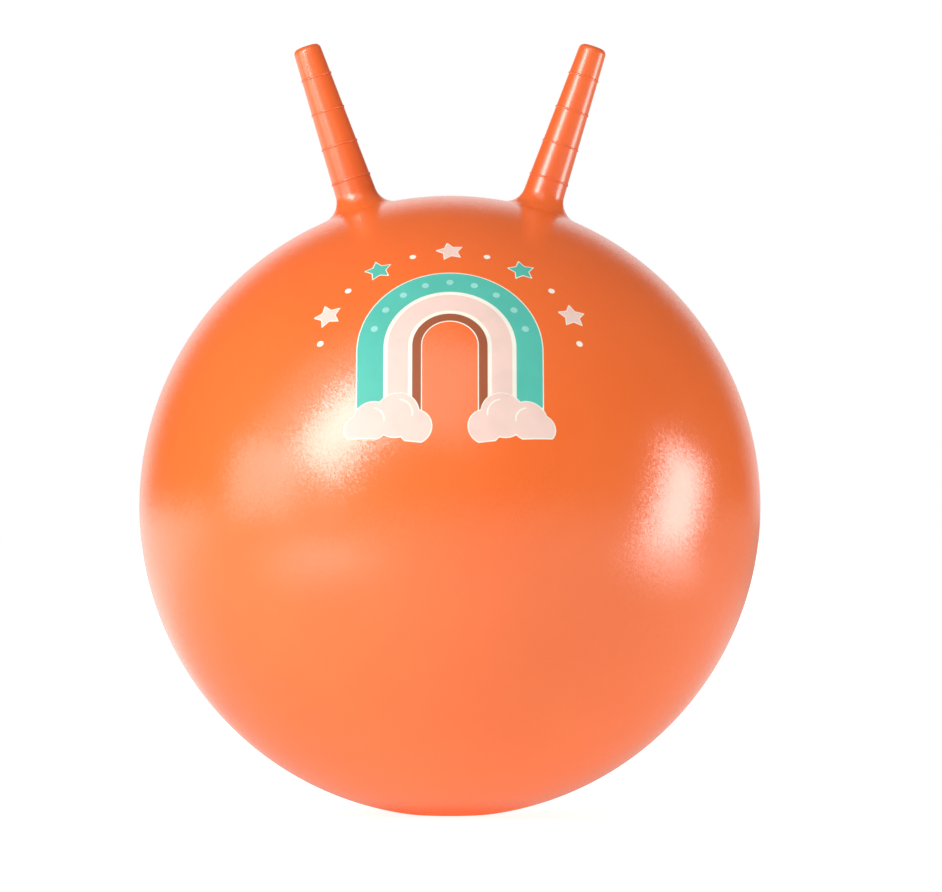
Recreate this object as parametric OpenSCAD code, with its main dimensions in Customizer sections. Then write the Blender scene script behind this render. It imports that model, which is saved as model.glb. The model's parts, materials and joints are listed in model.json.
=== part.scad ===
// Hopper ball: a hollow vinyl ball that a child sits on, with two ringed horns to hold.
//
// The ball and its horns are one hollow moulding in real life. Here it comes in five solids:
// the round skin, the flared root of each horn, and each horn from its lowest ring up. A horn
// meets its root on a ball face centred on the point that the horn bends about, so that it
// can flex. The skin has a hole at the back for a valve seat, and a push-in plug closes it.
// A rainbow is printed on the front in layers of ink.
//
// Millimetres. Z is up, the print faces -Y and the horns lean to -X and +X. The origin is
// the middle of the patch that the ball rests on.

/* [Ball] */
// Diameter of the blown-up ball
ball_d = 450; // [420:1:520]
// Thickness of the vinyl skin
skin_wall = 1.3; // [1:0.1:2]
// Radius of the patch that flattens under the ball's own weight
foot_r = 26; // [24:1:40]

/* [Horns] */
// Length of a horn, from the ball's surface to its flat end
horn_len = 124.5; // [119:0.5:150]
// Diameter of a horn at its flat end, before the edge is rounded
horn_tip_d = 19.9; // [18:0.1:24]
// Slope of a horn's side, in degrees
horn_taper = 2.45; // [1.5:0.05:3]
// Lean of a horn away from upright, in degrees
horn_lean = 18.7; // [15:0.1:22]
// How far beyond the ball's centre the axis of a horn passes
axis_offset = 8; // [4:0.5:10]
// Thickness of the vinyl in a horn
horn_wall = 2.6; // [2:0.1:3.5]
// Radius of the rounded edge at the flat end
tip_round = 4; // [2:0.5:6]
// Radius of the flare where a horn grows out of the ball
flare_r = 15.5; // [13:0.5:16]

/* [Grip rings] */
// Number of raised rings on each horn
ring_n = 4; // [3:1:4]
// Distance from the flat end to the first ring
ring_first = 23.3; // [20:0.1:23.5]
// Distance from ring to ring
ring_pitch = 26.15; // [24:0.05:26.2]
// Width of a ring along the horn
ring_w = 1.6; // [1.2:0.1:2]
// How far a ring stands out
ring_h = 0.6; // [0.3:0.1:1]

/* [Horn flex] */
// Distance from the parting down to the point that the horn bends about
flex_drop = 20; // [18:0.5:22]
// Gap between the horn and the ball at the parting
flex_gap = 0.3; // [0.2:0.05:0.5]
// Diameter of the air way from the ball into each horn
air_way_d = 9; // [6:0.5:12]

/* [Valve] */
// Height of the valve on the back of the ball, in degrees above the middle
valve_up = 15; // [0:1:40]
// Diameter of the seat's rim, which fills the hole in the skin
seat_d = 30; // [28:0.5:34]
// Diameter of the flange that is welded inside the skin
flange_d = 42; // [38:0.5:48]
// Bore of the seat
valve_bore_d = 8.4; // [7:0.1:9]
// Outer diameter of the seat's tube
seat_tube_d = 15; // [13:0.5:17]
// Depth of the seat's tube, from the ball's surface
seat_depth = 19; // [17:0.5:24]
// Diameter of the plug's head
plug_head_d = 23.6; // [20:0.1:25]
// Thickness of the plug's head at its middle
plug_head_t = 3.1; // [2.5:0.1:3.4]
// Number of ribs on the plug's shank
rib_n = 4; // [3:1:5]

/* [Print] */
// Height of the middle of the print, in degrees above the middle of the ball
print_up = 32; // [25:1:40]
// Thickness of one layer of ink
ink_t = 0.1; // [0.1:0.05:0.2]
// Width of the cream rim that shows round the other inks
rim_w = 0.8; // [0.5:0.1:1.5]
// Outer radius of the rainbow
arch_r = 64; // [58:1:66]
// Width of the teal band
teal_w = 18; // [12:1:20]
// Width of the pink band
pink_w = 14; // [10:1:16]
// Width of the brown band
brown_w = 6; // [4:1:8]
// Width of the cream between two bands
cream_w = 3; // [2:0.5:4]
// Outer radius of a star
star_r = 9; // [6:0.5:10]

/* [Hidden] */
ball_r = ball_d / 2;
foot_drop = ball_r - sqrt(ball_r * ball_r - foot_r * foot_r);
centre_z = ball_r - foot_drop;

// A place along a horn is its distance from the point of the axis nearest the ball's centre
surface_s = sqrt(ball_r * ball_r - axis_offset * axis_offset);
tip_s = surface_s + horn_len;
ring_s = [for (i = [0 : ring_n - 1]) tip_s - ring_first - i * ring_pitch];
below_ring = 0.8;
part_s = ring_s[ring_n - 1] - ring_w / 2 - below_ring;
pivot_s = part_s - flex_drop;
part_ball_r = norm([horn_r(part_s), flex_drop]);

// The flare turns about the line from the ball's centre through the root of the horn, so
// it meets the ball evenly all round, and it starts just inside the horn's cone
root_slant = asin(axis_offset / ball_r);
root_lean = horn_lean - root_slant;
flare_start = 0.85;
flare_meets = 12;
flare_mid_r = horn_r(surface_s + flare_r) - flare_start + flare_r;
flare_mid_far = sqrt(ball_r * ball_r + flare_r * flare_r + 2 * ball_r * flare_r * cos(flare_meets));
flare_mid_z = sqrt(flare_mid_far * flare_mid_far - flare_mid_r * flare_mid_r);
flare_turn = 180 + atan(flare_mid_z / flare_mid_r);
bury = 10;

// Valve, measured outwards from the ball's surface
weld = 0.05;
recess_gap = 0.3;
recess_depth = 2.8;
plug_lift = 0.1;
plug_fit = 0.05;
flange_t = 2.8;
shank_waist = 0.6;
shank_len = 15;
// A rib's flat crest, and how far its slopes run on below and above the crest's middle
rib_land = 0.6;
rib_under = 0.9;
rib_over = 0.6;
nose_in = 0.8;
nose_len = 1.2;
head_edge = 0.4;
dome_h = 0.9;
core_d = 3;
core_depth = 11;

// Print, on a plane that touches the ball at the print's middle
arch_v = -9;
arch_leg = 54;
pink_r = arch_r - teal_w - cream_w;
brown_r = pink_r - pink_w - cream_w;
arch_in = brown_r - brown_w;
cloud_u = 40;
cloud_v = -62;
cloud_floor = -13.5;
cloud_tilt = 9;
// Each puff of a cloud: how far out from its middle, how far up, and its radius
cloud_puffs = [[-17, -4, 11], [-3, 3, 15], [14, -2, 13], [23, -7, 8.5]];
curl_in = 3.6;
curl_w = 1.2;
pink_stars = [[0, 79], [-85, 27], [85, 27]];
teal_stars = [[-50, 63], [50, 63]];
specks = [[-26, 74], [26, 74], [-71, 47], [71, 47], [-90, 4], [90, 4]];
speck_r = 2.3;
star_rim = 1.5;
star_waist = 0.52;
star_tilt = 12;
dot_n = 9;
dot_r = 2.5;
dot_turn = 18;

smooth = 240;
round_fn = 96;
ink_fn = 64;
arc_steps = 10;

vinyl = "#F37032";
seat_vinyl = "#E8652B";
plug_white = "#F4F1E8";
teal_ink = "#62CFBA";
mint_ink = "#9DDED4";
pink_ink = "#F8D7CC";
cream_ink = "#FBF6E7";
brown_ink = "#AB5F3E";

// Radius of a horn's plain side at a place along it
function horn_r(s) = horn_tip_d / 2 + (tip_s - s) * tan(horn_taper);

// Points of an arc about [x, y], from one angle to another
function arc(x, y, r, from, to, steps = arc_steps) =
    [for (i = [0 : steps]) let (a = from + (to - from) * i / steps) [x + r * cos(a), y + r * sin(a)]];

// Half of a ring's section, from its upper edge to its lower edge
function bead(s) =
    [for (a = [90 : -30 : -90]) let (z = s + ring_w / 2 * sin(a)) [horn_r(z) + ring_h * cos(a), z]];

// Angle at which an arc about the pivot reaches a distance from the horn's axis
function from_axis(r, far) = 90 - asin(r / far);

// Places its children along the axis of a horn: side is -1 for the left and 1 for the right
module along_horn(side) {
    translate([0, 0, centre_z])
        mirror([side < 0 ? 1 : 0, 0, 0])
            rotate([0, horn_lean, 0])
                translate([-axis_offset, 0, 0])
                    children();
}

// Places its children on the line from the ball's centre through the root of a horn
module along_root(side) {
    translate([0, 0, centre_z])
        mirror([side < 0 ? 1 : 0, 0, 0])
            rotate([0, root_lean, 0])
                children();
}

// Places its children on the valve's axis, with the ball's surface at height 0
module at_valve() {
    translate([0, 0, centre_z])
        rotate([valve_up - 90, 0, 0])
            translate([0, 0, ball_r])
                children();
}

// The ball cut off flat at a height above the ground
module flat_ball(r, floor_z) {
    difference() {
        translate([0, 0, centre_z])
            sphere(r = r, $fn = smooth);
        translate([-ball_r, -ball_r, floor_z - ball_r])
            cube([ball_d, ball_d, ball_r]);
    }
}

// Plain lower end of a horn, up to the ball face that the horn turns on
module neck() {
    low = ball_r - bury;
    edge = from_axis(horn_r(part_s), part_ball_r);
    rotate_extrude($fn = round_fn)
        polygon(concat([[0, low], [horn_r(low), low]], arc(0, pivot_s, part_ball_r, edge, 90)));
}

// Air space in the neck
module neck_hollow() {
    low = ball_r - bury - 1;
    inner_r = part_ball_r - horn_wall;
    edge = from_axis(horn_r(part_s) - horn_wall, inner_r);
    rotate_extrude($fn = round_fn)
        polygon(concat([[0, low], [horn_r(low) - horn_wall, low]], arc(0, pivot_s, inner_r, edge, 90)));
    translate([0, 0, pivot_s])
        cylinder(d = air_way_d, h = part_ball_r + 1, $fn = round_fn);
}

// Flare at the root of a horn, or with a deep value the air space inside it
module flare(deep) {
    low = ball_r - bury - deep;
    curve = arc(flare_mid_r, flare_mid_z, flare_r + deep, flare_turn, 180);
    rotate_extrude($fn = round_fn)
        polygon(concat([[0, low], [curve[0][0], low]], curve, [[0, flare_mid_z]]));
}

// Round vinyl skin, open into both horns, with a hole for the valve seat
module ball_skin() {
    color(vinyl)
        difference() {
            flat_ball(ball_r, 0);
            flat_ball(ball_r - skin_wall, skin_wall);
            for (side = [-1, 1])
                along_root(side) flare(horn_wall);
            at_valve()
                translate([0, 0, -bury])
                    cylinder(d = seat_d, h = 2 * bury, $fn = round_fn);
        }
}

// Hollow root of a horn, flared where it stands on the skin
module root(side) {
    color(vinyl)
        difference() {
            union() {
                along_root(side) flare(0);
                along_horn(side) neck();
            }
            translate([0, 0, centre_z])
                sphere(r = ball_r, $fn = smooth);
            along_root(side) flare(horn_wall);
            along_horn(side) neck_hollow();
        }
}

module left_root() {
    root(-1);
}

module right_root() {
    root(1);
}

// Hollow horn with its raised rings, from the parting to its closed flat end
module horn() {
    hollow_top = tip_s - horn_wall;
    tip_mid_r = horn_r(tip_s) - tip_round;
    cup_r = part_ball_r + flex_gap;
    cup_out = horn_r(part_s);
    cup_in = cup_out - horn_wall;
    cup = arc(0, pivot_s, cup_r, from_axis(cup_in, cup_r), from_axis(cup_out, cup_r), 4);
    side = [for (i = [ring_n - 1 : -1 : 0]) let (b = bead(ring_s[i])) for (j = [len(b) - 1 : -1 : 0]) b[j]];
    tip = arc(tip_mid_r, tip_s - tip_round, tip_round, horn_taper, 90);
    inside = [[0, tip_s], [0, hollow_top], [tip_mid_r - 1, hollow_top],
        [horn_r(tip_s) - horn_wall, hollow_top - tip_round]];
    rotate_extrude($fn = round_fn)
        polygon(concat(cup, side, tip, inside));
}

module left_horn() {
    color(vinyl) along_horn(-1) horn();
}

module right_horn() {
    color(vinyl) along_horn(1) horn();
}

// Thick vinyl seat welded into the skin, with a recess for the plug's head
module valve_seat() {
    color(seat_vinyl)
        at_valve()
            difference() {
                union() {
                    intersection() {
                        translate([0, 0, -bury])
                            cylinder(d = seat_d + 2 * weld, h = 2 * bury, $fn = round_fn);
                        translate([0, 0, -ball_r])
                            sphere(r = ball_r - 2 * weld, $fn = smooth);
                        translate([-seat_d, -seat_d, -skin_wall - flange_t])
                            cube([2 * seat_d, 2 * seat_d, seat_d]);
                    }
                    intersection() {
                        translate([0, 0, -skin_wall - flange_t])
                            cylinder(d = flange_d, h = bury, $fn = round_fn);
                        translate([0, 0, -ball_r])
                            sphere(r = ball_r - skin_wall + weld, $fn = smooth);
                    }
                    translate([0, 0, -seat_depth])
                        cylinder(d = seat_tube_d, h = seat_depth - recess_depth, $fn = round_fn);
                }
                translate([0, 0, -recess_depth])
                    cylinder(d = plug_head_d + 2 * recess_gap, h = bury, $fn = round_fn);
                translate([0, 0, -seat_depth - 1])
                    cylinder(d = valve_bore_d, h = seat_depth + bury, $fn = round_fn);
            }
}

// Push-in plug with a domed head and a ribbed, cored shank
module valve_plug() {
    head_r = plug_head_d / 2;
    under = plug_lift - recess_depth;
    shank_r = valve_bore_d / 2 - plug_fit;
    waist_r = shank_r - shank_waist;
    rib_gap = shank_len / (rib_n + 1);
    foot = under - shank_len;
    nose = [[0, foot], [waist_r - nose_in, foot], [waist_r, foot + nose_len]];
    rib = [[waist_r, -rib_under], [shank_r, -rib_land / 2], [shank_r, rib_land / 2], [waist_r, rib_over]];
    ribs = [for (i = [rib_n : -1 : 1]) for (p = rib) [p[0], under - i * rib_gap + p[1]]];
    dome_z = under + plug_head_t - dome_h;
    head = [[waist_r, under], [head_r - head_edge, under], [head_r, under + head_edge],
        [head_r, dome_z - head_edge]];
    dome = [for (a = [0 : 15 : 90]) [(head_r - head_edge) * cos(a), dome_z + dome_h * sin(a)]];
    color(plug_white)
        at_valve()
            difference() {
                rotate_extrude($fn = round_fn)
                    polygon(concat(nose, ribs, head, dome));
                translate([0, 0, foot - 1])
                    cylinder(d = core_d, h = core_depth + 1, $fn = round_fn);
            }
}

// Prints its children on the ball, as a given layer of ink
module ink(layer) {
    low_r = ball_r + layer * ink_t;
    intersection() {
        translate([0, 0, centre_z])
            rotate([90 - print_up, 0, 0])
                linear_extrude(height = ball_d)
                    children();
        translate([0, 0, centre_z])
            difference() {
                sphere(r = low_r + ink_t, $fn = smooth);
                sphere(r = low_r, $fn = smooth);
            }
    }
}

// Round-topped doorway shape that the rainbow is cut from
module arch(r, leg) {
    translate([0, arch_v]) {
        intersection() {
            circle(r = r, $fn = ink_fn);
            translate([-r, 0])
                square([2 * r, r]);
        }
        translate([-r, -leg])
            square([2 * r, leg]);
    }
}

// One band of the rainbow, with straight legs
module band(outer, inner) {
    difference() {
        arch(outer, arch_leg);
        arch(inner, arch_leg + 1);
    }
}

// One band of the rainbow, ending just short of the clouds
module band_to_clouds(outer, inner) {
    difference() {
        band(outer, inner);
        for (side = [-1, 1])
            cloud(side, rim_w);
    }
}

// Places its children at a foot of the rainbow, drawn for the right side
module at_cloud(side) {
    mirror([side < 0 ? 1 : 0, 0])
        translate([cloud_u, cloud_v])
            rotate(cloud_tilt)
                children();
}

// Cloud at a foot of the rainbow, made larger all round by grow
module cloud(side, grow) {
    at_cloud(side)
        intersection() {
            for (p = cloud_puffs)
                translate([p[0], p[1]])
                    circle(r = p[2] + grow, $fn = ink_fn);
            translate([-cloud_u, cloud_floor - grow])
                square([2 * cloud_u, cloud_u]);
        }
}

// Curls inside the two middle puffs of a cloud
module curls(side) {
    at_cloud(side)
        for (p = [cloud_puffs[1], cloud_puffs[2]])
            translate([p[0], p[1]])
                intersection() {
                    difference() {
                        circle(r = p[2] - curl_in, $fn = ink_fn);
                        circle(r = p[2] - curl_in - curl_w, $fn = ink_fn);
                    }
                    translate([-p[2], 0])
                        square(p[2]);
                }
}

// Star with five points
module star(r) {
    polygon([for (i = [0 : 9]) let (a = 90 + star_tilt + 36 * i, far = i % 2 == 0 ? r : r * star_waist)
        [far * cos(a), far * sin(a)]]);
}

module print_cream() {
    color(cream_ink)
        ink(0) {
            band(arch_r + rim_w, arch_in - rim_w);
            for (side = [-1, 1])
                cloud(side, rim_w);
            for (p = concat(pink_stars, teal_stars))
                translate(p) star(star_r + star_rim);
            for (p = specks)
                translate(p) circle(r = speck_r, $fn = ink_fn);
        }
}

module print_teal() {
    color(teal_ink)
        ink(1) {
            band_to_clouds(arch_r, arch_r - teal_w);
            for (p = teal_stars)
                translate(p) star(star_r);
        }
}

module print_pink() {
    color(pink_ink)
        ink(1) {
            band_to_clouds(pink_r, pink_r - pink_w);
            for (side = [-1, 1])
                difference() {
                    cloud(side, 0);
                    curls(side);
                }
            for (p = pink_stars)
                translate(p) star(star_r);
        }
}

module print_brown() {
    color(brown_ink)
        ink(1)
            band_to_clouds(brown_r, arch_in);
}

module print_mint() {
    color(mint_ink)
        ink(2)
            translate([0, arch_v])
                for (i = [0 : dot_n - 1])
                    rotate(dot_turn * (i - (dot_n - 1) / 2))
                        translate([0, arch_r - teal_w / 2])
                            circle(r = dot_r, $fn = ink_fn);
}

ball_skin();
left_root();
right_root();
left_horn();
right_horn();
valve_seat();
valve_plug();
print_cream();
print_teal();
print_pink();
print_brown();
print_mint();
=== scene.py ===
# A child's hopper ball: blown-up orange vinyl with two ringed horns to hold, a push-in valve
# at the back and a rainbow printed on the front, standing in a plain white studio. Metres.

import json

import bpy
import numpy as np
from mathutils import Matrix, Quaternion, Vector


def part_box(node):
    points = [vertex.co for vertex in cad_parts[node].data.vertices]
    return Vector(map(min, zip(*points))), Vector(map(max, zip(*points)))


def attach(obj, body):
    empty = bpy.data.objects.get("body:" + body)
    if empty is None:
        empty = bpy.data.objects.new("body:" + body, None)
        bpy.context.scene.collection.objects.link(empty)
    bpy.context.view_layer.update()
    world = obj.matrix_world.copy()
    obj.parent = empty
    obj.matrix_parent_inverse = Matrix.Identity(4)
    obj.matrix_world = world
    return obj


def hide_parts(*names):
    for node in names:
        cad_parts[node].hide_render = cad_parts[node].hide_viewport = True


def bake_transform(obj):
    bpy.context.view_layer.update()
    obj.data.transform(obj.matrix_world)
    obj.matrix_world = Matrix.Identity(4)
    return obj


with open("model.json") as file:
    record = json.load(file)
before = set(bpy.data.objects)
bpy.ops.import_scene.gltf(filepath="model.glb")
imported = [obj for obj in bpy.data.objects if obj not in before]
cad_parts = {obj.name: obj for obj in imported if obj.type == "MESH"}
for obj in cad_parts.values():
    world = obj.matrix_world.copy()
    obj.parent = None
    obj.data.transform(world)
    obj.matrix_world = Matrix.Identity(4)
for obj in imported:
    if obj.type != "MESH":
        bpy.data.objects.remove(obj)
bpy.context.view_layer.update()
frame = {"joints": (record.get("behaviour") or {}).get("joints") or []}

joints = {joint["name"]: joint for joint in frame["joints"]}

# The blown-up ball
# One hollow vinyl moulding, 450 mm across with a thin wall, left with a fine grain by its
# mould. It flattens to a small patch where it stands, and a round hole at the back takes the
# valve seat, so its section is turned about the valve's axis and ends at that hole.
skin_low, skin_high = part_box("ball_skin")
ball_r = (skin_high.x - skin_low.x) / 2
skin_wall = 0.0013
foot_r = 0.026
foot_soft = 0.0009
centre = np.array([0, 0, np.sqrt(ball_r**2 - foot_r**2)])
valve_axis = np.array(joints["plug_pull"]["axis"], float)
hole_r, hole_lip = 0.015, 0.0005
# Rows of the section, columns round it, and degrees left free at the far pole
outer_n, lip_n, inner_n, around_n = 176, 5, 60, 288
outer_gap, inner_gap = 0.5, 1.0

# Where the horns begin outside the ball, and where the parting line and the scuffing fade
horn_span, line_fade, scuff_fade = (0.002, 0.022), (0.0003, 0.0009), (0.001, 0.012)
satin, satin_change, scuff_dull, horn_dull = 0.225, 0.05, 0.2, 0.06
skin_grain, horn_smooth = 0.10, 0.9
swell_h, line_h = 0.0002, 0.00008
ORANGE = (0.905, 0.157, 0.029, 1)
DEEP_ORANGE = (0.895, 0.149, 0.026, 1)
# Painted shade: a deeper copy of the orange for the horns, for the less light that comes through
# their thicker wall
HORN_SHADE_ORANGE = (0.86, 0.132, 0.022, 1)


class Wire:
    """A value in a shader. Sums on wires add Math nodes, and node() adds any other node."""

    def __init__(self, tree, socket=None):
        self.tree, self.socket = tree, socket

    def node(self, kind, inputs, output=0, **settings):
        """A node with its settings, then its inputs, which are values or other wires."""
        made = self.tree.nodes.new("ShaderNode" + kind)
        for name, value in settings.items():
            setattr(made, name, value)
        for name, value in inputs.items():
            if isinstance(value, Wire):
                self.tree.links.new(value.socket, made.inputs[name])
            else:
                made.inputs[name].default_value = value
        return Wire(self.tree, made.outputs[output])

    def also(self, output):
        """Another output of this wire's node."""
        return Wire(self.tree, self.socket.node.outputs[output])

    def math(self, operation, *others):
        """A Math node on this wire and on other wires or values."""
        return self.node("Math", dict(enumerate((self, *others))), operation=operation)

    def step(self, low, high):
        """0 below low, 1 above high and a smooth rise between them."""
        ends = {"Value": self, "From Min": low, "From Max": high}
        return self.node("MapRange", ends, interpolation_type="SMOOTHSTEP")

    def blend(self, a, b):
        """Colour a where this wire is 0 and colour b where it is 1."""
        return self.node("Mix", {0: self, 6: a, 7: b}, output=2, data_type="RGBA")

    def into(self, socket):
        """Links this wire to a socket of a shader or an output."""
        self.tree.links.new(self.socket, socket)

    def __add__(self, other):
        return self.math("ADD", other)

    def __sub__(self, other):
        return self.math("SUBTRACT", other)

    def __rsub__(self, other):
        return self.math("MULTIPLY", -1).math("ADD", other)

    def __mul__(self, other):
        return self.math("MULTIPLY", other)

    __radd__, __rmul__ = __add__, __mul__


def new_material(name, **constants):
    """A new material with its shader's constants set, its shader, and its Object coordinates."""
    made = bpy.data.materials.new(name)
    made.use_nodes = True
    shader = made.node_tree.nodes["Principled BSDF"]
    for socket, value in constants.items():
        shader.inputs[socket.replace("_", " ")].default_value = value
    return made, shader, Wire(made.node_tree).node("TexCoord", {}, output="Object")


def moulded_vinyl(name, colour, deep, grain):
    """Satin vinyl. Its grain is a pattern of facets under a millimetre wide, and each leans at
    random, by up to half of grain each way. On the horns the grain nearly fades out, as they
    are drawn smooth, and a deeper copy of the orange is painted on as shade, for the less light
    that comes through their thicker wall. A faint parting line runs round the moulding in the
    plane of the horns, and the ground has dulled the resting patch."""
    made, shader, place = new_material(name, IOR=1.6, Specular_IOR_Level=0.85)
    far = place.node("VectorMath", {0: place, 1: centre}, output="Value", operation="DISTANCE")
    horn = (far - ball_r).step(*horn_span)
    xyz = place.node("SeparateXYZ", {"Vector": place})
    parting = 1 - xyz.also("Y").math("ABSOLUTE").step(*line_fade)
    scuffed = 1 - xyz.also("Z").step(*scuff_fade)
    fine = place.node("TexNoise", {"Vector": place, "Scale": 1700.0, "Detail": 1.0})
    cloud = place.node("TexNoise", {"Vector": place, "Scale": 14.0, "Detail": 3.0})
    swell = place.node("TexNoise", {"Vector": place, "Scale": 26.0, "Detail": 1.0})
    skin = cloud.step(0.3, 0.7).blend(colour, deep)
    # Painted shade: the horns take the deeper copy of the orange
    horn.blend(skin, HORN_SHADE_ORANGE).into(shader.inputs["Base Color"])
    dull = satin + satin_change * (fine - 0.5) + scuff_dull * scuffed
    (dull + horn_dull * horn).into(shader.inputs["Roughness"])
    waves = {"Height": swell * (1 - horn), "Distance": swell_h}
    waves = place.node("Bump", waves, output="Normal")
    line = {"Height": parting, "Distance": line_h, "Normal": waves}
    line = place.node("Bump", line, output="Normal")
    facet = place.node("TexVoronoi", {"Vector": place, "Scale": 1500.0}, output="Color")
    lean = place.node("VectorMath", {0: facet, 1: (0.5, 0.5, 0.5)}, operation="SUBTRACT")
    depth = grain * (1 - horn_smooth * horn)
    lean = place.node("VectorMath", {0: lean, "Scale": depth}, operation="SCALE")
    facing = place.node("VectorMath", {0: line, 1: lean}, operation="ADD")
    place.node("VectorMath", {0: facing}, operation="NORMALIZE").into(shader.inputs["Normal"])
    return made


def unit(vector):
    """The vector divided by its length."""
    return np.asarray(vector, float) / np.linalg.norm(vector)


def turned(section, axis, origin, columns):
    """Rings of a section turned about an axis. A point (out, along) of the section becomes
    origin + along * axis + out * (cos t * e + sin t * f), for equal steps of the angle t."""
    axis = unit(axis)
    e = unit(np.cross(axis, (1, 0, 0)))
    f = np.cross(axis, e)
    t = np.linspace(0, 2 * np.pi, columns, endpoint=False)[:, None]
    out, along = np.asarray(section, float).T[:, :, None, None]
    return origin + along * axis + out * (np.cos(t) * e + np.sin(t) * f)


def closed_skin(rings, first, last):
    """Points and faces of a closed skin: quads join each ring to the next, and a fan closes
    each end on a pole."""
    n, m = rings.shape[:2]
    here = np.arange(n * m).reshape(n, m)
    beside = np.roll(here, -1, axis=1)
    quads = np.stack([here[:-1], beside[:-1], beside[1:], here[1:]], axis=-1).reshape(-1, 4)
    start = np.stack([beside[0], here[0], np.full(m, n * m)], axis=-1)
    end = np.stack([here[-1], beside[-1], np.full(m, n * m + 1)], axis=-1)
    points = np.concatenate([rings.reshape(-1, 3), [first], [last]])
    return points, quads.tolist() + start.tolist() + end.tolist()


def add_piece(name, points, faces, material, slot, crease=40):
    """A closed mesh at the origin. Its faces are turned over if they enclose less than nothing,
    and edges that bend by more than crease degrees stay sharp."""
    mesh = bpy.data.meshes.new(name)
    mesh.from_pydata(np.asarray(points, float).tolist(), [], faces)
    mesh.calc_loop_triangles()
    corners = np.empty(3 * len(mesh.loop_triangles), int)
    mesh.loop_triangles.foreach_get("vertices", corners)
    a, b, c = np.asarray(points, float)[corners].reshape(-1, 3, 3).transpose(1, 0, 2)
    if np.einsum("ij,ij->", a, np.cross(b, c)) < 0:
        mesh.flip_normals()
    mesh.polygons.foreach_set("use_smooth", np.ones(len(mesh.polygons), bool))
    mesh.set_sharp_from_angle(angle=np.radians(crease))
    mesh.materials.append(material)
    piece = bpy.data.objects.new(name, mesh)
    bpy.context.scene.collection.objects.link(piece)
    return piece


def smooth_max(a, b, soft):
    """The larger of a and b, rounded off over a height of soft where they cross."""
    near = np.clip(1 - np.abs(a - b) / soft, 0, 1)
    return np.maximum(a, b) + near * near * soft / 4


def arc(out, along, r, start, end, steps):
    """Points of an arc of a section, from one angle in degrees to another."""
    t = np.radians(np.linspace(start, end, steps))
    return np.stack([out + r * np.cos(t), along + r * np.sin(t)], axis=-1)


def ball_section():
    """The outer half circle from its far pole to the hole, the lip of the hole, and the inner
    half circle back to the far pole."""
    inner_r = ball_r - skin_wall
    edge = hole_r + hole_lip
    outer = arc(0, 0, ball_r, outer_gap - 90, np.degrees(np.arccos(edge / ball_r)), outer_n)
    lip = arc(edge, np.sqrt(ball_r**2 - edge**2) - hole_lip, hole_lip, 90, 180, lip_n)[1:]
    inner = arc(0, 0, inner_r, np.degrees(np.arccos(hole_r / inner_r)), inner_gap - 90, inner_n)
    return np.concatenate([outer, lip, inner]), len(outer) + len(lip)


section, outer_rows = ball_section()
rings = turned(section, valve_axis, centre, around_n)
lowest = np.where(np.arange(len(section)) < outer_rows, 0, skin_wall)[:, None]
rings[:, :, 2] = smooth_max(rings[:, :, 2], lowest, foot_soft)
poles = [centre - ball_r * valve_axis, centre - (ball_r - skin_wall) * valve_axis]
vinyl = moulded_vinyl("orange_vinyl", ORANGE, DEEP_ORANGE, skin_grain)
ball = add_piece("moulded_ball", *closed_skin(rings, *poles), vinyl, "vinyl")
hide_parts("ball_skin")
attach(ball, "ball")

# The horns
# Each horn is part of the same hollow moulding. It grows out of the ball in a flare, narrows
# to a rounded flat end, and has four thin raised rings for grip. It is laid out from the pivot
# and hinge of its flex joint at the root.
flex_to_tip = 0.12335
horn_tip_r = 0.00995
horn_taper = np.radians(2.45)
horn_wall = 0.0026
tip_round = 0.004
flare_mean, flare_change = 0.01525, 0.00075
ring_first, ring_pitch, ring_n = 0.0233, 0.02615, 4
ring_w, ring_h = 0.0016, 0.0006
bead_half = np.array([0.25, 0.5, 0.75, 0.9, 0.97, 1, 1.06, 1.25])
bead_steps = np.concatenate([-bead_half[::-1], [0], bead_half])
bead_clear = 0.0006
skirt, skirt_sink = 0.005, 0.0003
# Rows on each stretch and columns round it
skirt_n, flare_n, straight_n, tip_n, horn_around_n = 6, 25, 26, 10, 112
tip_flat_r, inner_flat_r, inner_round, inner_side = 0.003, 0.002, 0.002, 0.02
neck_hollow_r, neck_above, neck_below = 0.0105, 0.004, 0.006


def even_rows(section, columns):
    """Rows that are the same all round, one for each (out, along) of a section."""
    return [(np.full(columns, out), np.full(columns, along)) for out, along in section]


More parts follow.
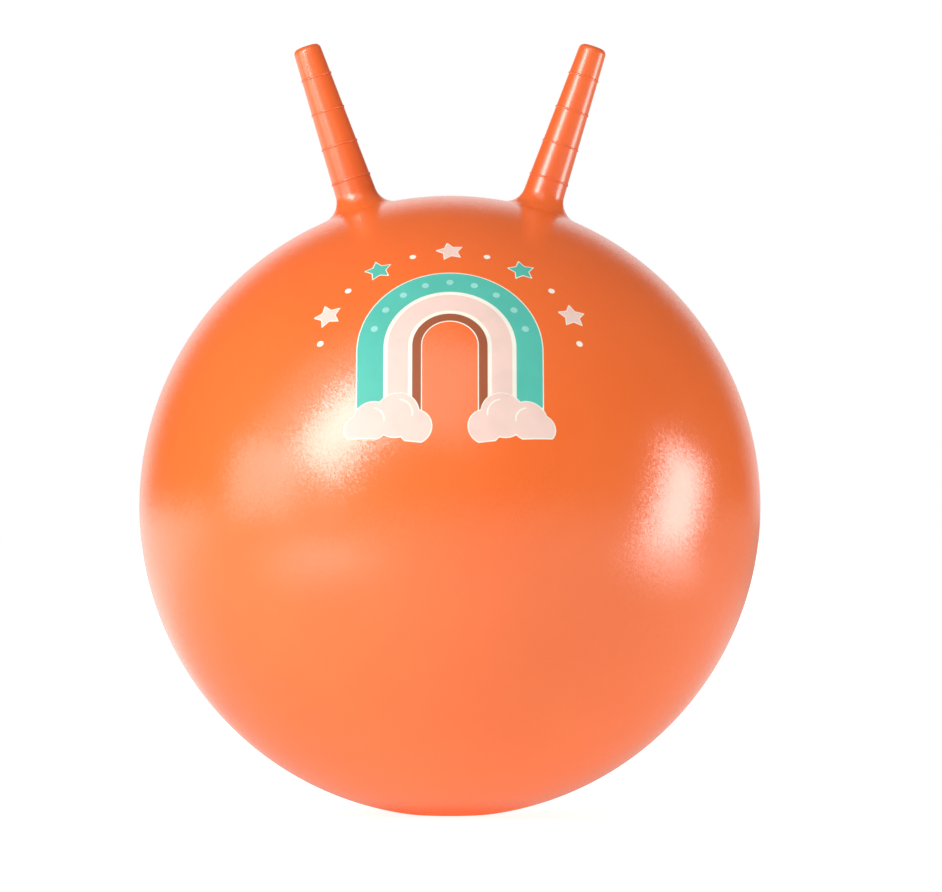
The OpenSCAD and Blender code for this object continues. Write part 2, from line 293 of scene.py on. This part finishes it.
def horn_rows(pivot, hinge, columns):
    """Rings of points over one horn: down its inner wall, then from its skirt up to its tip.

    Distances s along the axis count from the point nearest the ball's centre. At angle t round
    the axis the ball shows as a circle of radius sqrt(R^2 - d^2 sin(t)^2) about (d cos(t), 0),
    where d is how far the axis passes from the centre. The flare is the arc that touches both
    that circle and the straight, tapered side, and the skirt runs on from it under the ball."""
    axis = unit(np.cross((0, 1, 0), hinge))
    axis *= np.sign(axis[2])
    pivot_s = np.dot(pivot - centre, axis)
    nearest = pivot - pivot_s * axis
    d = np.linalg.norm(centre - nearest)
    outward = (centre - nearest) / d
    sideways = np.cross(axis, outward)
    tip = pivot_s + flex_to_tip
    slope = np.tan(horn_taper)
    ring_at = tip - ring_first - ring_pitch * np.arange(ring_n)
    t = np.linspace(0, 2 * np.pi, columns, endpoint=False)
    around = np.cos(t)[:, None] * outward + np.sin(t)[:, None] * sideways

    flare = flare_mean + flare_change * np.cos(t)
    cut_mid, cut_r = d * np.cos(t), np.sqrt(ball_r**2 - (d * np.sin(t)) ** 2)
    side_far = horn_tip_r + tip * slope + flare / np.cos(horn_taper)
    # The arc's middle is on the line side_far - s * slope, and cut_r + flare from cut_mid
    gap = side_far - cut_mid
    a, b, c = 1 + slope**2, -2 * gap * slope, gap**2 - (cut_r + flare) ** 2
    mid_s = (np.sqrt(b**2 - 4 * a * c) - b) / (2 * a)
    mid_r = side_far - mid_s * slope
    touch = np.arctan2(mid_r - cut_mid, mid_s)
    side_s = mid_s - flare * np.sin(horn_taper)

    def on_ball(run):
        """A point on the ball, run metres beyond the flare, and sunk by the square of run."""
        turn, r = touch + run / cut_r, cut_r - skirt_sink * (run / skirt) ** 2
        return cut_mid + r * np.sin(turn), r * np.cos(turn)

    def on_flare(share):
        """A point of the arc, from the ball at share 0 to the tapered side at share 1."""
        turn = 1.5 * np.pi - touch + (touch + horn_taper - np.pi / 2) * share
        return mid_r + flare * np.cos(turn), mid_s + flare * np.sin(turn)

    def on_side(s):
        """A point of the tapered side with its rings, each half of an ellipse in section."""
        off = (s - ring_at[:, None]) / (ring_w / 2)
        rings = ring_h * np.sqrt(np.clip(1 - off**2, 0, 1)).sum(axis=0)
        return horn_tip_r + (tip - s) * slope + rings, s

    ring_lowest = tip - ring_first - (ring_n - 1) * ring_pitch - ring_w
    tip_low = tip - tip_round + tip_round * np.sin(horn_taper)
    beads = (ring_at[:, None] + ring_w / 2 * bead_steps).ravel()
    straight = np.linspace(ring_lowest, tip_low, straight_n)
    clear = np.abs(straight[:, None] - beads).min(axis=1) > bead_clear
    exact = np.sort(np.concatenate([straight[clear], beads]))[:-1]

    rows = [on_ball(run) for run in np.linspace(skirt, 0, skirt_n)]
    rows += [on_flare(share) for share in np.linspace(0, 1, flare_n)[1:]]
    rows += [on_side(side_s + (ring_lowest - side_s) * share) for share in (0.33, 0.67)]
    rows += [on_side(np.full(columns, s)) for s in exact]
    tip_mid_r = horn_tip_r + tip_round * (slope - 1 / np.cos(horn_taper))
    edge = arc(tip_mid_r, tip - tip_round, tip_round, np.degrees(horn_taper), 90, tip_n)
    rows += even_rows([*edge, (tip_flat_r, tip)], columns)
    inner_r = horn_tip_r - horn_wall
    ceiling = tip - horn_wall
    inside = [(inner_flat_r, ceiling), (inner_r - inner_round, ceiling)]
    inside += [(inner_r, ceiling - inner_round)]
    side_rows = np.linspace(tip - inner_side, ring_lowest, 8)
    inside += [(inner_r + (tip - s) * slope, s) for s in side_rows]
    inside += [(neck_hollow_r, ball_r + neck_above), (neck_hollow_r, ball_r - neck_below)]
    inner_rows = even_rows(inside, columns)
    r, s = np.array(inner_rows + rows).transpose(1, 0, 2)
    rings = nearest + r[:, :, None] * around + s[:, :, None] * axis
    return rings, nearest + ceiling * axis, nearest + tip * axis


for side in ("left", "right"):
    joint = joints[side + "_horn_flex"]
    pivot = np.array(joint["pos_m"], float)
    rings, inner_tip, outer_tip = horn_rows(pivot, joint["axis"], horn_around_n)
    skin = closed_skin(rings, inner_tip, outer_tip)
    horn = add_piece(side + "_horn_moulding", *skin, vinyl, "vinyl")
    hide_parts(side + "_root", side + "_horn")
    along = unit(outer_tip - pivot)
    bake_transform(horn)

# The print
# A rainbow stands on two clouds, with stars round it. It is pressed on flat in layers of ink:
# cream first, which shows as a thin rim, then teal, pink and brown, and mint dots last.
print_up = np.radians(32)
ink_t = 0.0001
rim_w = 0.0008
arch_v, arch_leg = -0.009, 0.054
arch_r, teal_w, pink_w, brown_w, cream_w = 0.064, 0.018, 0.014, 0.006, 0.003
pink_r = arch_r - teal_w - cream_w
brown_r = pink_r - pink_w - cream_w
arch_in = brown_r - brown_w
cloud_u, cloud_v, cloud_floor, cloud_tilt = 0.040, -0.062, -0.0135, np.radians(9)
cloud_puffs = [
    (-0.017, -0.004, 0.011), (-0.003, 0.003, 0.015),
    (0.014, -0.002, 0.013), (0.023, -0.007, 0.0085)]
curl_in, curl_w = 0.0036, 0.0012
pink_stars = [(0, 0.079), (-0.085, 0.027), (0.085, 0.027)]
teal_stars = [(-0.050, 0.063), (0.050, 0.063)]
specks = [
    (-0.026, 0.074), (0.026, 0.074), (-0.071, 0.047),
    (0.071, 0.047), (-0.090, 0.004), (0.090, 0.004)]
speck_r = 0.0023
star_r, star_rim, star_waist, star_tilt = 0.009, 0.0015, 0.52, 12
dot_n, dot_r, dot_turn = 9, 0.0025, 18
print_half_w, print_half_h, print_mesh = 0.100, 0.094, 0.0008
off_edge = 1e-6
ink_dull, ink_change, ink_thin, ink_grain = 0.46, 0.05, 0.94, 0.35

TEAL = (0.09, 0.475, 0.38, 1)
PINK = (0.82, 0.575, 0.505, 1)
CREAM = (0.85, 0.81, 0.70, 1)
BROWN = (0.34, 0.092, 0.039, 1)
MINT = (0.295, 0.64, 0.575, 1)


def disc(u, v, r):
    """Distance to a disc of radius r: how far the point is from the middle, less r."""
    return np.hypot(u, v) - r


def band(u, v, outer, inner):
    """Distance to a band of the rainbow: half a ring above, straight legs below. It is how far
    the point is from the middle of the band, less half the band's width."""
    v = v - arch_v
    far = np.where(v > 0, np.hypot(u, v), np.abs(u))
    return np.maximum(np.abs(far - (outer + inner) / 2) - (outer - inner) / 2, -arch_leg - v)


def on_cloud(u, v):
    """The print's plane turned so that the cloud on either side is level, its middle at 0, 0."""
    x, y = np.abs(u) - cloud_u, v - cloud_v
    cos, sin = np.cos(cloud_tilt), np.sin(cloud_tilt)
    return x * cos + y * sin, y * cos - x * sin


def cloud(u, v, grow=0):
    """Distance to a cloud made larger all round by grow: the nearest puff, cut off level."""
    x, y = on_cloud(u, v)
    puffs = np.min([disc(x - a, y - b, r) for a, b, r in cloud_puffs], axis=0)
    return np.maximum(puffs - grow, cloud_floor - grow - y)


def curls(u, v):
    """Distance to the quarter rings inside the two middle puffs of a cloud."""
    x, y = on_cloud(u, v)
    found = []
    for a, b, r in cloud_puffs[1:3]:
        ring = np.abs(disc(x - a, y - b, r - curl_in - curl_w / 2)) - curl_w / 2
        found.append(np.max([ring, x - a, b - y], axis=0))
    return np.min(found, axis=0)


def star(u, v, r):
    """Distance to a five-pointed star: the plane is folded into one tenth of it, where the
    star's edge is one straight line from a point to the waist beside it."""
    turn = np.arctan2(v, u) - np.radians(90 + star_tilt)
    fold = np.abs((turn + np.pi / 5) % (2 * np.pi / 5) - np.pi / 5)
    x, y = np.hypot(u, v) * np.cos(fold), np.hypot(u, v) * np.sin(fold)
    ex = star_waist * np.cos(np.pi / 5) - 1
    ey = star_waist * np.sin(np.pi / 5)
    return ((x - r) * ey - y * ex) / np.hypot(ex, ey)


def stars(u, v, places, r):
    """Distance to the nearest of some stars of radius r."""
    return np.min([star(u - a, v - b, r) for a, b in places], axis=0)


def cream_shape(u, v):
    """All that the other inks cover, made larger by a rim, and the specks between the stars."""
    arch = band(u, v, arch_r + rim_w, arch_in - rim_w)
    all_stars = stars(u, v, pink_stars + teal_stars, star_r + star_rim)
    dots = np.min([disc(u - a, v - b, speck_r) for a, b in specks], axis=0)
    return np.min([arch, cloud(u, v, rim_w), all_stars, dots], axis=0)


def band_to_clouds(u, v, outer, inner):
    """Distance to a band that stops a rim short of the clouds."""
    return np.maximum(band(u, v, outer, inner), -cloud(u, v, rim_w))


def teal_shape(u, v):
    """The widest band and two of the stars."""
    arch = band_to_clouds(u, v, arch_r, arch_r - teal_w)
    return np.minimum(arch, stars(u, v, teal_stars, star_r))


def pink_shape(u, v):
    """The middle band, the clouds without their curls, and three of the stars."""
    arch = band_to_clouds(u, v, pink_r, pink_r - pink_w)
    puffs = np.maximum(cloud(u, v), -curls(u, v))
    return np.min([arch, puffs, stars(u, v, pink_stars, star_r)], axis=0)


def brown_shape(u, v):
    """The innermost band."""
    return band_to_clouds(u, v, brown_r, arch_in)


def mint_shape(u, v):
    """Dots at equal turns along the middle of the teal band."""
    turns = np.radians(dot_turn) * (np.arange(dot_n) - (dot_n - 1) / 2)
    across, up = (arch_r - teal_w / 2) * np.array([np.sin(turns), np.cos(turns)])
    return np.min([disc(u - a, v - arch_v - b, dot_r) for a, b in zip(across, up)], axis=0)


def pressed(u, v, r):
    """The point of a sphere of radius r straight behind (u, v) on the print's plane."""
    normal = np.array([0, -np.cos(print_up), np.sin(print_up)])
    upward = np.array([0, np.sin(print_up), np.cos(print_up)])
    deep = np.sqrt(r**2 - u**2 - v**2)
    flat = centre + u[:, None] * np.array([1, 0, 0]) + v[:, None] * upward
    return flat + deep[:, None] * normal


def film(shape, layer):
    """Points and faces of the ink where shape(u, v), a distance, is below 0.

    A grid of triangles is cut where the distance passes 0. A triangle with one corner on its
    own side keeps a triangle or a quad, whose new corners lie on that corner's two edges. The
    result is laid on the ball, and a rim and an underside in the skin close it."""
    us = np.arange(-print_half_w, print_half_w, print_mesh)
    vs = np.arange(-print_half_h, print_half_h, print_mesh)
    u, v = (a.ravel() for a in np.meshgrid(us, vs))
    d = shape(u, v)
    d = np.where(np.abs(d) < off_edge, off_edge, d)
    at = np.arange(len(u)).reshape(len(vs), len(us))
    low, right = at[:-1, :-1].ravel(), at[:-1, 1:].ravel()
    up, over = at[1:, :-1].ravel(), at[1:, 1:].ravel()
    corners = np.concatenate([np.stack([low, right, over], 1), np.stack([low, over, up], 1)])
    inside = d[corners] < 0
    count = inside.sum(axis=1)
    faces = corners[count == 3].tolist()
    crossed = (count == 1) | (count == 2)
    cut, cut_in = corners[crossed], inside[crossed]
    alone = np.argmax(cut_in == (cut_in.sum(axis=1) == 1)[:, None], axis=1)
    pick = np.arange(len(cut))
    o, p, q = (cut[pick, (alone + k) % 3] for k in range(3))
    ends = np.sort(np.stack([np.concatenate([o, o]), np.concatenate([p, q])], 1), axis=1)
    edges, place = np.unique(ends, axis=0, return_inverse=True)
    place = place.ravel()
    e, f = edges.T
    share = d[e] / (d[e] - d[f])
    new_u, new_v = u[e] + share * (u[f] - u[e]), v[e] + share * (v[f] - v[e])
    op, oq = len(u) + place[: len(o)], len(u) + place[len(o):]
    one = d[o] < 0
    faces += np.stack([o, op, oq], 1)[one].tolist() + np.stack([op, p, q, oq], 1)[~one].tolist()
    rim = np.concatenate([np.stack([op, oq], 1)[one], np.stack([oq, op], 1)[~one]])
    u, v = np.concatenate([u, new_u]), np.concatenate([v, new_v])
    used = np.unique(np.concatenate([np.asarray(f) for f in faces]))
    number = np.zeros(len(u), int)
    number[used] = np.arange(len(used))
    u, v, n = u[used], v[used], len(used)
    top = [number[f].tolist() for f in faces]
    under = [[i + n for i in f[::-1]] for f in top]
    a, b = number[rim].T
    walls = np.stack([b, a, a + n, b + n], 1).tolist()
    heights = (layer + 1) * ink_t, -ink_t
    points = np.concatenate([pressed(u, v, ball_r + height) for height in heights])
    return points, top + under + walls


def ink(name, colour):
    """Screen ink: flat and a little duller than the vinyl, whose grain shows faintly through it,
    with slightly uneven cover."""
    made, shader, place = new_material(name, IOR=1.42, Specular_IOR_Level=0.25)
    cover = place.node("TexNoise", {"Vector": place, "Scale": 60.0, "Detail": 4.0})
    fine = place.node("TexNoise", {"Vector": place, "Scale": 1900.0, "Detail": 2.0})
    cells = place.node("TexVoronoi", {"Vector": place, "Scale": 820.0}, output="Distance")
    thin = tuple(ink_thin * c for c in colour[:3]) + (1,)
    cover.step(0.35, 0.75).blend(colour, thin).into(shader.inputs["Base Color"])
    (ink_dull + ink_change * (fine - 0.5)).into(shader.inputs["Roughness"])
    grain = {"Height": cells * ink_grain, "Distance": 0.00004}
    place.node("Bump", grain, output="Normal").into(shader.inputs["Normal"])
    return made


inks = [
    ("cream", cream_shape, 0, CREAM),
    ("teal", teal_shape, 1, TEAL),
    ("pink", pink_shape, 1, PINK),
    ("brown", brown_shape, 1, BROWN),
    ("mint", mint_shape, 2, MINT),
]
for name, shape, layer, colour in inks:
    coat = ink(name + "_ink", colour)
    piece = add_piece(name + "_ink_film", *film(shape, layer), coat, name + "_ink")
    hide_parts("print_" + name)
    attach(piece, "ball")

# The valve
# A thick vinyl seat is welded into the hole in the skin. Its recess takes the head of a soft
# white plug, whose ribbed shank is pushed into the bore.
valve_mouth = centre + ball_r * valve_axis
# The seat, with depths counted inwards from the valve's mouth
seat_r = hole_r - 0.00005
recess_r, recess_depth, recess_lip = 0.0121, 0.0028, 0.0001
bore_r, bore_middle = 0.0042, 0.010
tube_r, seat_depth = 0.0075, 0.019
flange_r, flange_t, flange_bevel = 0.021, 0.0025, 0.001
seat_grain, seat_round, seat_around_n = 0.03, 0.0004, 96
# The plug: its head, the groove in it, its rim, its ribbed shank and the core of the shank
plug_r, plug_top, plug_t = 0.0118, 0.0004, 0.0031
groove_in, groove_out, groove_slope, groove_depth = 0.0045, 0.0080, 0.0005, 0.0005
rim_round, rim_fall, rim_under, head_fall = 0.0006, 0.0009, 0.0005, 0.0001
shank_r, waist_r, shank_len, rib_n = 0.00415, 0.0035, 0.015, 4
rib_above, rib_half, rib_below = 0.0006, 0.0003, 0.0009
shank_taper, core_r, core_end_r, core_side, core_depth = 0.0008, 0.0016, 0.0015, 0.010, 0.011
plug_round, by_axis, plug_around_n = 0.0003, 0.0001, 80
SEAT = (0.80, 0.125, 0.024, 1)
PLUG, CLOUDED_PLUG = (0.86, 0.83, 0.76, 1), (0.80, 0.77, 0.69, 1)


def rounded(corners, r, steps=5):
    """A section with each corner cut back by r and bridged by a curve (a quadratic Bezier)."""
    corners = np.asarray(corners, float)
    made = [corners[:1]]
    for before, corner, after in zip(corners[:-2], corners[1:-1], corners[2:]):
        cut_a = min(r, np.linalg.norm(before - corner) * 0.45)
        cut_b = min(r, np.linalg.norm(after - corner) * 0.45)
        a, b = corner + cut_a * unit(before - corner), corner + cut_b * unit(after - corner)
        t = np.linspace(0, 1, steps)[:, None]
        made.append((1 - t) ** 2 * a + 2 * t * (1 - t) * corner + t**2 * b)
    made.append(corners[-1:])
    return np.concatenate(made)


def closed_turn(section, columns):
    """Rings of a section that comes back to its first point, as a ring-shaped closed skin."""
    rings = turned(section, valve_axis, valve_mouth, columns)
    n, m = rings.shape[:2]
    here = np.arange(n * m).reshape(n, m)
    beside, above = np.roll(here, -1, axis=1), np.roll(here, -1, axis=0)
    quads = np.stack([here, beside, np.roll(above, -1, axis=1), above], axis=-1).reshape(-1, 4)
    return rings.reshape(-1, 3), quads.tolist()


# The seat's rim lies this much below the middle of the valve's mouth, as the ball is round
dip = seat_r**2 / (2 * ball_r)
flange_low = -skin_wall - flange_t
seat_section = rounded([
    (bore_r, -bore_middle), (bore_r, -recess_depth), (recess_r, -recess_depth),
    (recess_r, recess_lip), (seat_r, -dip), (seat_r, -skin_wall - dip),
    (flange_r, -skin_wall - flange_bevel), (flange_r, flange_low), (tube_r, flange_low),
    (tube_r, -seat_depth), (bore_r, -seat_depth), (bore_r, -bore_middle)], seat_round)
seat_vinyl = moulded_vinyl("valve_seat_vinyl", SEAT, SEAT, seat_grain)
seat_skin = closed_turn(seat_section[:-1], seat_around_n)
seat = add_piece("valve_seat_moulding", *seat_skin, seat_vinyl, "seat_vinyl")
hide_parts("valve_seat")
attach(seat, "ball")

plug_plastic, shader, place = new_material("plug_plastic", IOR=1.5)
cloudy = place.node("TexNoise", {"Vector": place, "Scale": 90.0, "Detail": 3.0})
cloudy.step(0.3, 0.8).blend(PLUG, CLOUDED_PLUG).into(shader.inputs["Base Color"])
(0.38 + 0.1 * cloudy).into(shader.inputs["Roughness"])
under = plug_top - plug_t
shank_end = under - shank_len
pitch = shank_len / (rib_n + 1)
ribs = []
for i in range(1, rib_n + 1):
    z = under - i * pitch
    ribs += [(waist_r, z + rib_above), (shank_r, z + rib_half)]
    ribs += [(shank_r, z - rib_half), (waist_r, z - rib_below)]
face, groove_low = plug_top - head_fall, plug_top - groove_depth
plug_section = rounded([
    (by_axis, plug_top), (groove_in - groove_slope, face), (groove_in, groove_low),
    (groove_out, groove_low), (groove_out + groove_slope, face),
    (plug_r - rim_round, plug_top - rim_fall), (plug_r, under + rim_round),
    (plug_r - rim_under, under), (waist_r, under), *ribs, (waist_r - shank_taper, shank_end),
    (core_r, shank_end), (core_end_r, shank_end + core_side),
    (by_axis, shank_end + core_depth)], plug_round)
plug_rings = turned(plug_section, valve_axis, valve_mouth, plug_around_n)
ends = [plug_rings[0].mean(axis=0), plug_rings[-1].mean(axis=0)]
plug_skin = closed_skin(plug_rings, *ends)
plug = add_piece("push_in_plug", *plug_skin, plug_plastic, "plug_plastic")
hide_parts("valve_plug")
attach(plug, "plug")

# The studio
# A white floor keeps the ball's shadow, and the room is white behind the ball, pale above it and
# dim on the camera's side. Soft boxes stand at the front left, far left, right and above the
# camera. The ball mirrors the floor dimmer than it is, with painted pools of light of two boxes
# and a painted shadow where it stands, and the floor glows to light the ball from below.
scene = bpy.context.scene
scene.view_settings.view_transform = "Standard"

floor_mesh = bpy.data.meshes.new("studio_floor")
floor_reach = 30
corners = [(x * floor_reach, y * floor_reach, 0) for x, y in ((-1, -1), (1, -1), (1, 1), (-1, 1))]
floor_mesh.from_pydata(corners, [], [(0, 1, 2, 3)])
floor = bpy.data.objects.new("studio_floor", floor_mesh)
scene.collection.objects.link(floor)
floor_paint = bpy.data.materials.new("floor_paint")
floor_paint.use_nodes = True
floor_tree = floor_paint.node_tree
floor_tree.nodes.clear()
start = Wire(floor_tree)
ray = start.node("LightPath", {}, output="Is Camera Ray")
seen = ray.math("MAXIMUM", ray.also("Is Glossy Ray"))
seen = seen.math("MAXIMUM", ray.also("Is Transmission Ray"))
place = start.node("TexCoord", {}, output="Object")
across = place.node("SeparateXYZ", {"Vector": place})
mirrored = seen * (1 - ray)


def far_from(x, y):
    """How far the shaded point of the floor is from the point x, y."""
    spot = {0: place, 1: (x, y, 0)}
    return place.node("VectorMath", spot, output="Value", operation="DISTANCE")


# What the camera sees, white to the horizon
white = 0.86 + 0.2 * far_from(0, 0).step(0.5, 2.5)

# Painted bounce light: the floor glows to light the ball from below, cool, brighter at the front
# left and near its foot, and painted warm at its foot as if from the ball's own colour
WARM, COOL = (1.3, 1, 0.95, 1), (0.88, 1, 1, 1)
lit_left = 1 - far_from(-0.42, -0.45).step(0, 0.7)
near_foot = 1 - far_from(0, 0).step(0.08, 0.3)
bounce = 0.84 + 0.4 * lit_left + 0.22 * near_foot
hue = far_from(0, 0).step(0.035, 0.085).blend(WARM, COOL)
tinted = place.node("VectorMath", {0: hue, "Scale": bounce}, operation="SCALE")

# What the ball mirrors: a painted shadow where it stands, and painted pools of light of two boxes
key_pool = 1 - far_from(-0.6, -0.66).step(0.05, 0.45)
right_pool = 1 - far_from(0.95, -0.2).step(0.05, 0.45)
back_left = across.also("Y").step(-0.2, 0.8) * (1 - across.step(-0.3, 1.0))
# Painted shadow: the mirrored floor is dark round the ball's foot
clear = far_from(0, 0).step(0.036, 0.068)
image = (0.26 + 0.9 * back_left) * clear + 1.5 * key_pool + 2.4 * right_pool

GREY, MIRRORED_GREY = (0.42, 0.42, 0.42, 1), (0.15, 0.15, 0.15, 1)
level = mirrored.blend(ray.blend(tinted, white), image)
grey = mirrored.blend(GREY, MIRRORED_GREY)
shade = start.node("BsdfDiffuse", {"Color": grey})
glow = start.node("Emission", {"Color": level, "Strength": 1.0})
surface = start.node("AddShader", {0: shade, 1: glow})
surface.into(floor_tree.nodes.new("ShaderNodeOutputMaterial").inputs["Surface"])
floor_mesh.materials.append(floor_paint)

world = bpy.data.worlds.new("studio_air")
scene.world = world
world.use_nodes = True
air = Wire(world.node_tree)
ray = air.node("LightPath", {}, output="Is Camera Ray")
through = ray.also("Is Transmission Ray")
heading = air.node("TexCoord", {}, output="Generated")
rightward = air.node("SeparateXYZ", {"Vector": heading})
behind, above = rightward.also("Y"), rightward.also("Z")
mirrored = ray.also("Is Glossy Ray")
wall_light = 0.66 * behind.step(0, 0.8) + 0.5 * above.step(0, 0.9)
wall_image = behind.step(0.76, 0.94) * (1 - 0.35 * rightward.step(0, 0.5))
room = 0.03 + wall_light * (1 - mirrored) + wall_image * mirrored
background = world.node_tree.nodes["Background"]
(room + (1 - room) * ray.math("MAXIMUM", through)).into(background.inputs["Color"])


def soft_box(name, azimuth, elevation, distance, width, height, level, roll=0):
    """An area lamp that faces the ball's middle, at an azimuth from the camera's side towards
    the right, and gives level W per square metre and steradian. Angles are in degrees."""
    a, e = np.radians(azimuth), np.radians(elevation)
    aim = Vector((np.cos(e) * np.sin(a), -np.cos(e) * np.cos(a), np.sin(e)))
    lamp = bpy.data.lights.new(name, "AREA")
    lamp.shape, lamp.size, lamp.size_y = "RECTANGLE", width, height
    lamp.energy = np.pi * width * height * level
    box = bpy.data.objects.new(name, lamp)
    scene.collection.objects.link(box)
    box.location = Vector(centre) + distance * aim
    turn = Quaternion(aim, np.radians(roll)) @ (-aim).to_track_quat("-Z", "Y")
    box.rotation_euler = turn.to_euler()


# Name, azimuth, elevation, distance, width, height, level
soft_box("key_box", -40.5, 25.5, 1.7, 0.60, 0.90, 8, roll=-31)
soft_box("key_edge", -50, 23, 1.72, 1.35, 1.2, 0.8, roll=-31)
soft_box("left_box", -69, 8, 1.76, 0.88, 0.6, 2.1)
soft_box("right_box", 84, -2, 1.3, 0.46, 0.8, 6.1, roll=-27)
soft_box("front_fill", -16, 42, 1.9, 1.7, 1.3, 1.05)

# The camera
# It looks level at the ball's middle from 4 m away, and is aimed so that the middle comes
# where it is in the photograph, whose size is 942 by 892.
image_w, image_h = 942, 892
ball_px = (449.9, 506.2)
ball_r_px = 310.6
camera_far = 4.0
focal_px = ball_r_px / np.tan(np.arcsin(ball_r / camera_far))
lens = bpy.data.cameras.new("camera")
lens.sensor_width = 36
lens.lens = focal_px * lens.sensor_width / image_w
camera = bpy.data.objects.new("camera", lens)
scene.collection.objects.link(camera)
camera.location = centre + np.array([0, -camera_far, 0])
look = Vector((image_w / 2 - ball_px[0], focal_px, ball_px[1] - image_h / 2))
camera.rotation_euler = look.to_track_quat("-Z", "Y").to_euler()
scene.camera = camera
